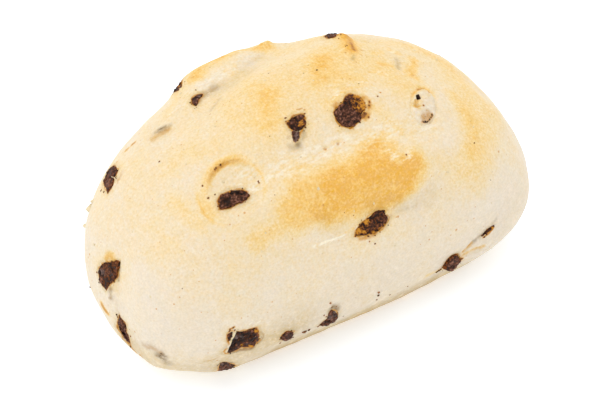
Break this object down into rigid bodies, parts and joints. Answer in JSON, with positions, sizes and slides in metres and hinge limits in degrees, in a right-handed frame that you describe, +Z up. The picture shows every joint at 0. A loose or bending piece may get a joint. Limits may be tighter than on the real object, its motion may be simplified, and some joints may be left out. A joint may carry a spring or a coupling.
{
  "type": "chocolate brioche",
  "caption": "Small oval brioche loaf with a pale, lightly browned crust, a flat sole, and dark chocolate chips set in its surface.",
  "frame": {"origin": "middle of the bounding box of the whole brioche, on the flat sole that it rests on", "axes": "+X along the loaf, towards its wider, lower end; +Y towards its back, the side away from the deep front fold; +Z up"},
  "size_m": [0.0994, 0.0624, 0.0493],
  "materials": {
    "crust": null,
    "chocolate": null
  },
  "bodies": {
    "root": {"bun": "crust", "chip_left_edge": "chocolate", "chip_left_end": "chocolate", "chip_end_crease": "chocolate", "chip_left_foot": "chocolate", "chip_front_left": "chocolate", "chip_sole_edge": "chocolate", "chip_front_small": "chocolate", "chip_front_veiled": "chocolate", "chip_front_right": "chocolate", "chip_right_sliver": "chocolate", "chip_fold": "chocolate", "chip_top_large": "chocolate", "chip_furrow": "chocolate", "chip_burst_bubble": "chocolate", "chip_blister": "chocolate", "chip_back_crease": "chocolate", "chip_back_edge": "chocolate", "chip_crest": "chocolate", "chip_shoulder": "chocolate", "chip_rear_high": "chocolate", "chip_rear_left": "chocolate", "chip_rear_right": "chocolate", "chip_rear_foot": "chocolate", "chip_right_end": "chocolate", "chip_sole_left": "chocolate", "chip_sole_right": "chocolate"}
  },
  "joints": []
}
